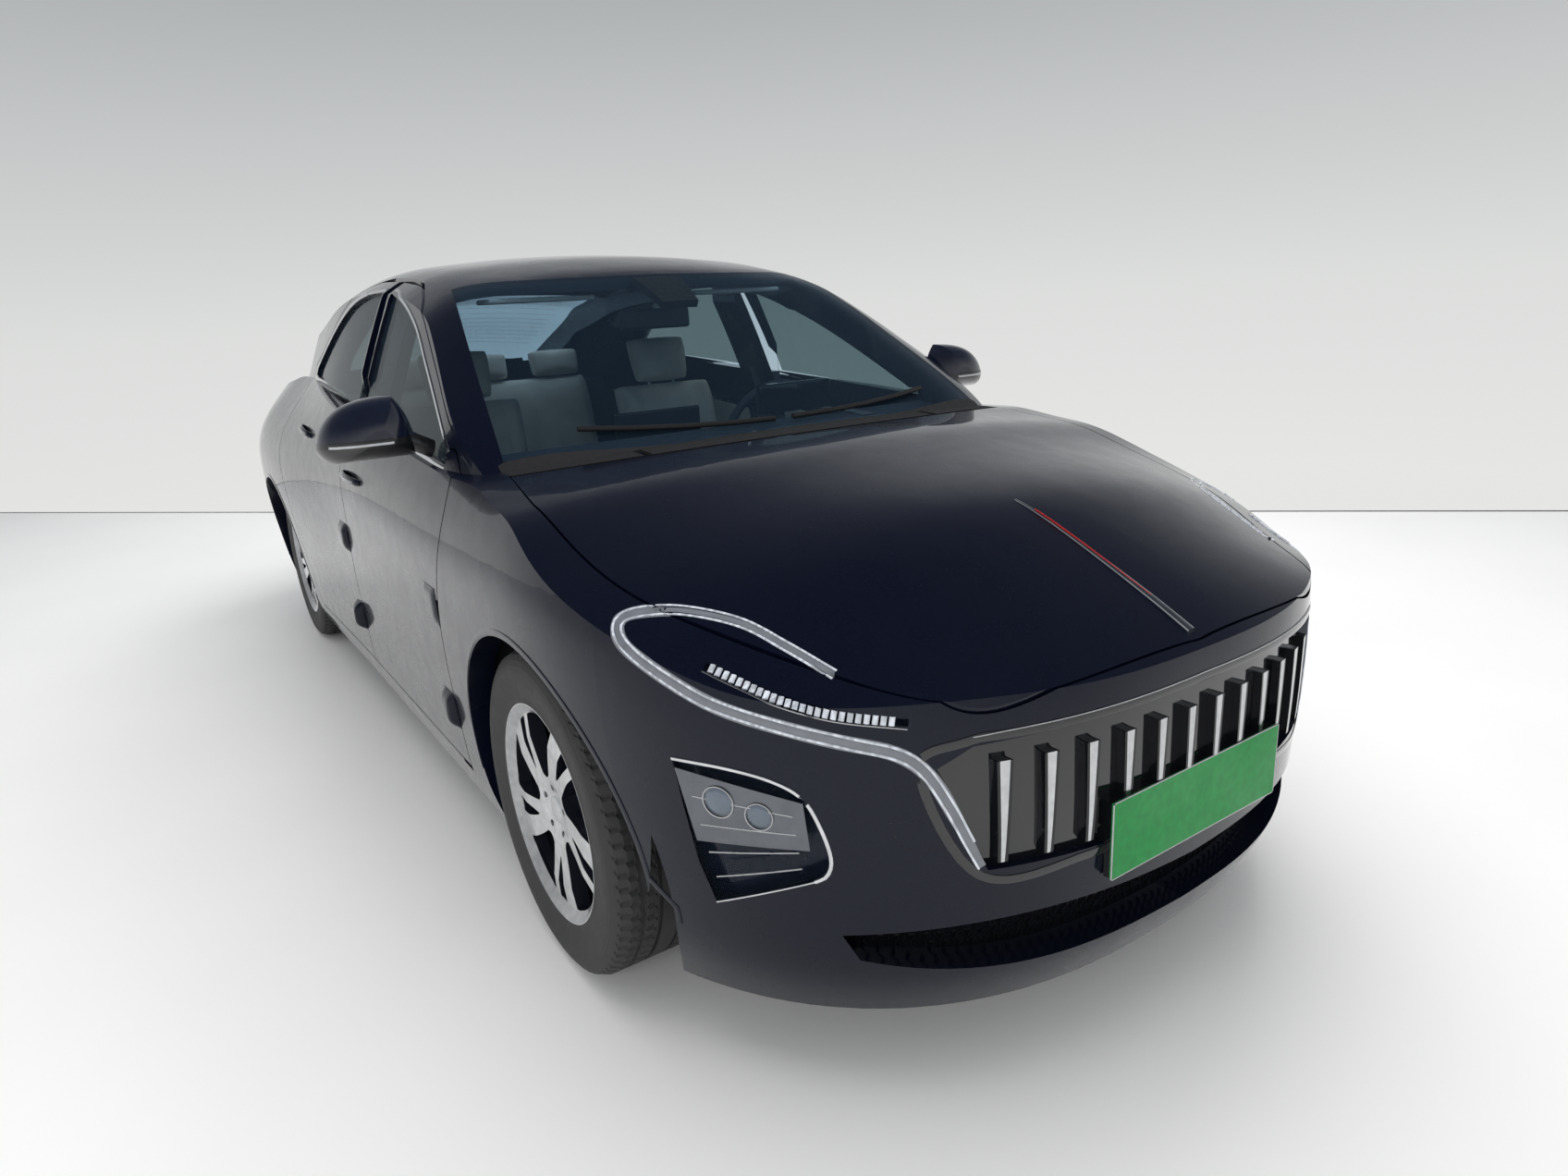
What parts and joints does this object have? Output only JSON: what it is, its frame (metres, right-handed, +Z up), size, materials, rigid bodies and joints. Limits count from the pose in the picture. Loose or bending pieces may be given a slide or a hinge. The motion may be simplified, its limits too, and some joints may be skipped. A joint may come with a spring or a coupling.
{
  "type": "sedan car",
  "caption": "Four-door electric sedan with opening doors, bonnet and boot lid, steered front wheels, hollow cabin and barred front grille.",
  "frame": {"origin": "middle of the car's length and width, on the plane that the tyres stand on", "axes": "+X towards the nose, +Y towards the car's left side, +Z up"},
  "size_m": [5.04, 2.1686, 1.5698],
  "materials": {
    "black_gloss": "gloss",
    "black_matte": "matt",
    "body_paint": "deep dark blue gloss",
    "cast_metal": "cast",
    "cast_steel": "rough cast",
    "chrome": "bright",
    "dash": "grained",
    "day_lamp": "smoked diffuser",
    "lamp_glass": "clear lens",
    "liner_plastic": "grained",
    "mirror_shell": "gloss",
    "plate": "plain green",
    "rim": "machined face with dark pockets",
    "screen_glass": "clear with a green cast",
    "seat_leather": "beige, soft",
    "side_glass": "tinted",
    "tail_lamp": "red lens",
    "tyre": "matt rubber",
    "under_metal": "satin black"
  },
  "bodies": {
    "car_body": {"battery_pack": "under_metal", "cowl": "liner_plastic", "dashboard": "dash", "day_lamps": "day_lamp", "drive_unit": "cast_metal", "floor_pan": "under_metal", "front_bumper": "body_paint", "front_seats": "seat_leather", "front_structure": "under_metal", "front_suspension": "cast_steel", "front_wings": "body_paint", "grille": "black_gloss", "grille_bars": "chrome", "headlamps": "lamp_glass", "number_plate": "plate", "rear_bumper": "body_paint", "rear_seat": "seat_leather", "rear_suspension": "cast_steel", "rear_window": "screen_glass", "roof": "body_paint", "side_frame_left": "body_paint", "side_frame_right": "body_paint", "tail_lamps": "tail_lamp", "wheel_liners": "liner_plastic", "windscreen": "screen_glass", "wipers": "black_matte"},
    "front_door_right": {"front_door_glass_right": "side_glass", "front_door_right": "body_paint", "mirror_right": "mirror_shell"},
    "front_door_left": {"front_door_glass_left": "side_glass", "front_door_left": "body_paint", "mirror_left": "mirror_shell"},
    "rear_door_right": {"rear_door_glass_right": "side_glass", "rear_door_right": "body_paint"},
    "rear_door_left": {"rear_door_glass_left": "side_glass", "rear_door_left": "body_paint"},
    "bonnet": {"bonnet": "body_paint"},
    "boot_lid": {"boot_lid": "body_paint", "lid_lamp": "tail_lamp"},
    "knuckle_right": {"knuckle_right": "cast_steel"},
    "knuckle_left": {"knuckle_left": "cast_steel"},
    "wheel_front_right": {"rim_front_right": "rim", "tyre_front_right": "tyre"},
    "wheel_front_left": {"rim_front_left": "rim", "tyre_front_left": "tyre"},
    "wheel_rear_right": {"rim_rear_right": "rim", "tyre_rear_right": "tyre"},
    "wheel_rear_left": {"rim_rear_left": "rim", "tyre_rear_left": "tyre"},
    "steering_wheel": {"steering_wheel": "dash"}
  },
  "joints": [
    {"name": "front_door_right_hinge", "type": "hinge", "parent": "car_body", "child": "front_door_right", "pos_m": [1.02489, -0.90534, 0.6], "axis": [0, 0, 1], "range_deg": [0, 65]},
    {"name": "rear_door_right_hinge", "type": "hinge", "parent": "car_body", "child": "rear_door_right", "pos_m": [-0.03058, -0.91011, 0.6], "axis": [0, 0, 1], "range_deg": [0, 65]},
    {"name": "front_door_left_hinge", "type": "hinge", "parent": "car_body", "child": "front_door_left", "pos_m": [1.02489, 0.90534, 0.6], "axis": [0, 0, -1], "range_deg": [0, 65]},
    {"name": "rear_door_left_hinge", "type": "hinge", "parent": "car_body", "child": "rear_door_left", "pos_m": [-0.03058, 0.91011, 0.6], "axis": [0, 0, -1], "range_deg": [0, 65]},
    {"name": "bonnet_hinge", "type": "hinge", "parent": "car_body", "child": "bonnet", "pos_m": [1.29997, 0, 1.02173], "axis": [0, -1, 0], "range_deg": [0, 50]},
    {"name": "boot_lid_hinge", "type": "hinge", "parent": "car_body", "child": "boot_lid", "pos_m": [-2.0104, 0, 1.13909], "axis": [0, 1, 0], "range_deg": [0, 70]},
    {"name": "steer_right", "type": "hinge", "parent": "car_body", "child": "knuckle_right", "pos_m": [1.59, -0.7, 0.3515], "axis": [0, 0, 1], "range_deg": [-33, 33]},
    {"name": "wheel_front_right_spin", "type": "hinge", "parent": "knuckle_right", "child": "wheel_front_right", "pos_m": [1.59, -0.772, 0.3515], "axis": [0, 1, 0], "continuous": true},
    {"name": "wheel_rear_right_spin", "type": "hinge", "parent": "car_body", "child": "wheel_rear_right", "pos_m": [-1.4, -0.772, 0.3515], "axis": [0, 1, 0], "continuous": true},
    {"name": "steer_left", "type": "hinge", "parent": "car_body", "child": "knuckle_left", "pos_m": [1.59, 0.7, 0.3515], "axis": [0, 0, 1], "range_deg": [-33, 33]},
    {"name": "wheel_front_left_spin", "type": "hinge", "parent": "knuckle_left", "child": "wheel_front_left", "pos_m": [1.59, 0.772, 0.3515], "axis": [0, 1, 0], "continuous": true},
    {"name": "wheel_rear_left_spin", "type": "hinge", "parent": "car_body", "child": "wheel_rear_left", "pos_m": [-1.4, 0.772, 0.3515], "axis": [0, 1, 0], "continuous": true},
    {"name": "steering_wheel_turn", "type": "hinge", "parent": "car_body", "child": "steering_wheel", "pos_m": [0.55845, 0.41065, 0.9414], "axis": [-0.9063, 0, 0.4226], "range_deg": [-462, 462]}
  ],
  "couplings": [
    {"joint": "steer_left", "follows": "steer_right", "ratio": 1},
    {"joint": "steering_wheel_turn", "follows": "steer_right", "ratio": 14}
  ]
}
